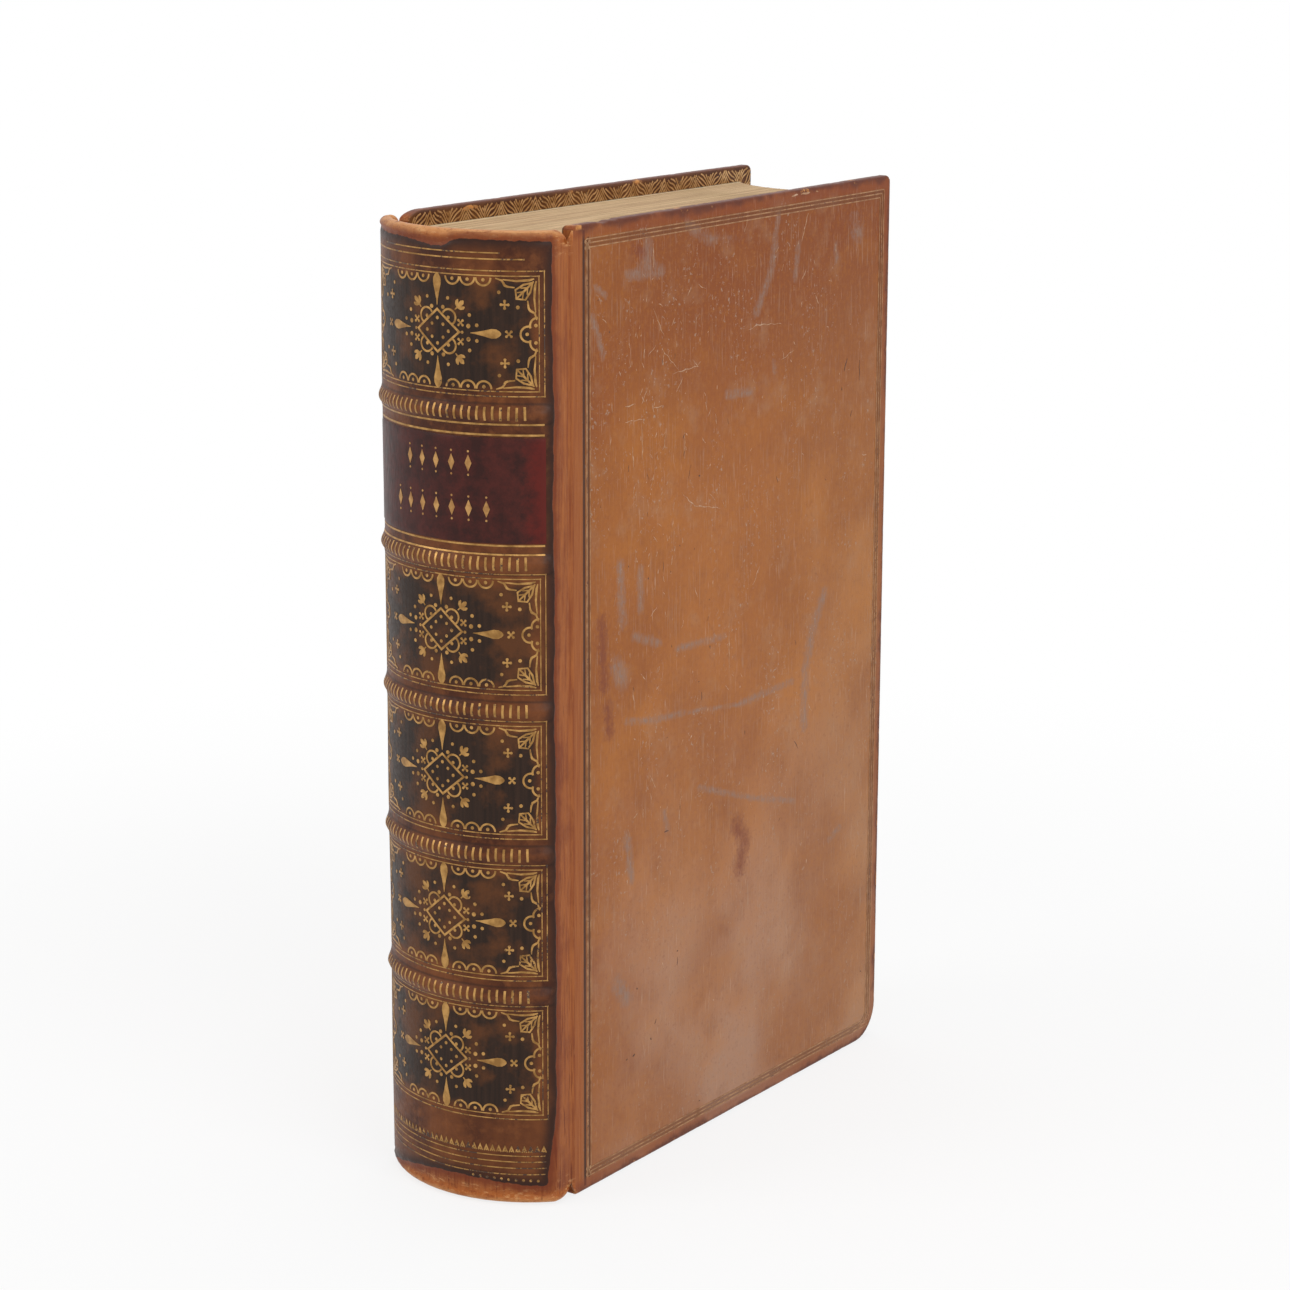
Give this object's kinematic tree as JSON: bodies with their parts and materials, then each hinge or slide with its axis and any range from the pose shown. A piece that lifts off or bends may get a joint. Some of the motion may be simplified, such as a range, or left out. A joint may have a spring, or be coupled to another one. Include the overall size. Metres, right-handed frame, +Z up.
{
  "type": "antique leather book",
  "caption": "Thick upright book in tan calf with a rounded spine, raised bands, gilt tooled panels, a red label and two covers that open on leather joints.",
  "frame": {"origin": "under the middle of the book's box, on the surface that it stands on", "axes": "+Z up from tail to head, +X across the thickness towards the front cover, +Y from the spine to the fore-edge"},
  "size_m": [0.0551, 0.1704, 0.25],
  "materials": {
    "leaves": "aged paper, trimmed edges",
    "marbled_paper": "marbled endpaper",
    "lining_paper": "lining paper and glue",
    "endband_silk": "worked silk",
    "cord": "hemp cord",
    "spine_calf": "polished calf, worn",
    "label_leather": "red skiver label",
    "gold_tooling": "gold leaf, worn",
    "millboard": "millboard",
    "cover_calf": "tan calf, polished and scuffed"
  },
  "bodies": {
    "book_block": {"text_block": "leaves", "front_flyleaf": "marbled_paper", "back_flyleaf": "marbled_paper", "spine_lining": "lining_paper", "head_endband": "endband_silk", "tail_endband": "endband_silk", "raised_band_1": "cord", "raised_band_2": "cord", "raised_band_3": "cord", "raised_band_4": "cord", "raised_band_5": "cord", "spine_leather": "spine_calf", "title_label": "label_leather", "label_tooling": "gold_tooling", "panel_tooling_1": "gold_tooling", "panel_tooling_3": "gold_tooling", "panel_tooling_4": "gold_tooling", "panel_tooling_5": "gold_tooling", "panel_tooling_6": "gold_tooling", "band_tooling": "gold_tooling", "spine_fillets": "gold_tooling", "tail_border": "gold_tooling"},
    "front_cover": {"front_board": "millboard", "front_leather": "cover_calf", "front_pastedown": "marbled_paper", "front_fillets": "gold_tooling", "front_turn_in_roll": "gold_tooling"},
    "back_cover": {"back_board": "millboard", "back_leather": "cover_calf", "back_pastedown": "marbled_paper", "back_fillets": "gold_tooling", "back_turn_in_roll": "gold_tooling"}
  },
  "joints": [
    {"name": "front_joint", "type": "hinge", "parent": "book_block", "child": "front_cover", "pos_m": [0.0275, -0.0653, 0.125], "axis": [0, 0, -1], "range_deg": [0, 175]},
    {"name": "back_joint", "type": "hinge", "parent": "book_block", "child": "back_cover", "pos_m": [-0.0275, -0.0653, 0.125], "axis": [0, 0, 1], "range_deg": [0, 175]}
  ]
}
